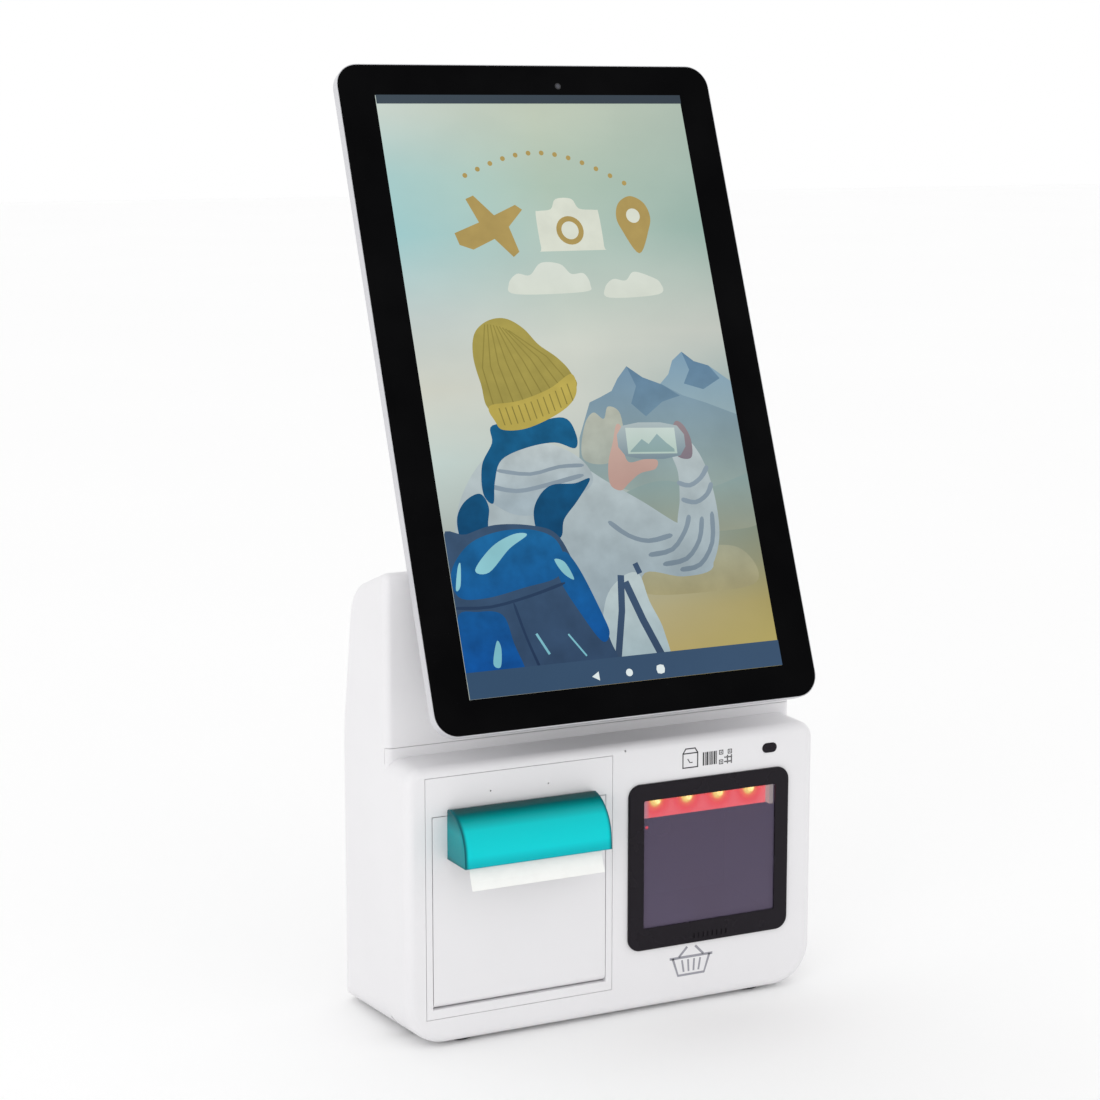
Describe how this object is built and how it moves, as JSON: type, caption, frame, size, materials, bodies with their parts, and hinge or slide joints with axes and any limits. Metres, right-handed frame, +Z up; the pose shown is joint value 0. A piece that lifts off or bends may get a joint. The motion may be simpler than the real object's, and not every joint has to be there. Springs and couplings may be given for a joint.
{
  "type": "self checkout kiosk",
  "caption": "Countertop self-checkout kiosk: upright touch display on a tilt hinge, receipt printer with a drop-down door and clear hood, and a window barcode reader.",
  "frame": {"origin": "middle of the bounding box, at counter level under the rubber feet", "axes": "+X to the customer's right, +Y backwards away from the customer, +Z up"},
  "size_m": [0.257, 0.1524, 0.5359],
  "materials": {
    "white_plastic": "satin",
    "white_inner_plastic": "matte",
    "silver_frame": "satin",
    "black_glass": "gloss",
    "lcd_stack": "satin",
    "tinted_glass": "gloss",
    "charcoal_plastic": "satin",
    "teal_plastic": "gloss",
    "black_plastic": "matte",
    "steel": "satin",
    "zinc_screws": "satin",
    "aluminium_parts": "satin",
    "rubber_black": "matte",
    "gear_plastic": "satin",
    "paper": "matte",
    "card_core": "matte",
    "circuit_board": "satin",
    "lamp_red": "gloss",
    "diffuser_red": "satin",
    "connector_metal": "satin",
    "friction_lining": "matte"
  },
  "bodies": {
    "housing": {"front_cover": "white_plastic", "rear_housing": "white_plastic", "rear_panel": "white_plastic", "rear_panel_screws": "zinc_screws", "base_plate": "steel", "rubber_feet": "rubber_black", "chassis_frame": "steel", "neck_frame": "steel", "hinge_bracket": "steel", "hinge_bracket_screws": "zinc_screws", "hinge_pins": "steel", "friction_washers": "friction_lining", "printer_bezel": "white_plastic", "door_hinge_pins": "steel", "feed_motor": "steel", "printer_chassis": "steel", "print_head": "aluminium_parts", "head_springs": "steel", "cutter_housing": "black_plastic", "cutter_motor": "steel", "paper_bucket": "black_plastic", "paper_web": "paper", "scanner_bezel": "charcoal_plastic", "scanner_window": "tinted_glass", "scanner_housing": "black_plastic", "light_bar": "diffuser_red", "lamp_board": "circuit_board", "scan_lamps": "lamp_red", "scanner_lens": "black_plastic", "scanner_board": "circuit_board", "presence_window": "charcoal_plastic", "presence_sensor": "circuit_board", "port_board": "circuit_board", "usb_ports": "connector_metal", "lan_port": "connector_metal", "dc_inlet": "black_plastic", "button_spring": "steel", "wiring_loom": "black_plastic"},
    "display": {"touch_glass": "black_glass", "display_frame": "silver_frame", "lcd_panel": "lcd_stack", "camera_module": "black_plastic", "display_rear_cover": "white_inner_plastic", "display_bracket": "steel", "display_bracket_screws": "zinc_screws", "main_board": "circuit_board", "speakers": "black_plastic"},
    "door": {"printer_door": "white_plastic", "exit_hood": "teal_plastic", "fixed_blade": "steel", "receipt_slip": "paper"},
    "platen": {"platen_shaft": "steel", "platen_roller": "rubber_black", "platen_gear": "gear_plastic"},
    "idler": {"idler_gear": "gear_plastic"},
    "pinion": {"motor_pinion": "steel"},
    "roll": {"paper_roll": "paper", "roll_core": "card_core"},
    "cutter": {"cutter_blade": "steel"},
    "button": {"power_button": "charcoal_plastic"}
  },
  "joints": [
    {"name": "display_tilt", "type": "hinge", "parent": "housing", "child": "display", "pos_m": [0, -0.03871, 0.206], "axis": [-1, 0, 0], "range_deg": [-18, 3]},
    {"name": "door_hinge", "type": "hinge", "parent": "housing", "child": "door", "pos_m": [-0.06, -0.0477, 0.0271], "axis": [1, 0, 0], "range_deg": [0, 75]},
    {"name": "paper_roll_spin", "type": "hinge", "parent": "housing", "child": "roll", "pos_m": [-0.06, -0.0017, 0.0514], "axis": [1, 0, 0], "continuous": true},
    {"name": "platen_spin", "type": "hinge", "parent": "door", "child": "platen", "pos_m": [-0.06, -0.0381, 0.118], "axis": [1, 0, 0], "continuous": true},
    {"name": "idler_spin", "type": "hinge", "parent": "housing", "child": "idler", "pos_m": [-0.108, -0.01525, 0.11399], "axis": [1, 0, 0], "continuous": true},
    {"name": "pinion_spin", "type": "hinge", "parent": "housing", "child": "pinion", "pos_m": [-0.108, 0.00068, 0.12735], "axis": [1, 0, 0], "continuous": true},
    {"name": "cutter_slide", "type": "slide", "parent": "housing", "child": "cutter", "axis": [0, -1, 0], "range_m": [0, 0.007]},
    {"name": "power_button_press", "type": "slide", "parent": "housing", "child": "button", "axis": [0, -1, 0], "range_m": [0, 0.002], "stiffness_N_per_m": 600, "springref_m": -0.001, "deforming": ["button_spring"]}
  ],
  "couplings": [
    {"joint": "platen_spin", "follows": "paper_roll_spin", "ratio": -5.6667},
    {"joint": "idler_spin", "follows": "paper_roll_spin", "ratio": 2.55},
    {"joint": "pinion_spin", "follows": "paper_roll_spin", "ratio": -8.5}
  ]
}
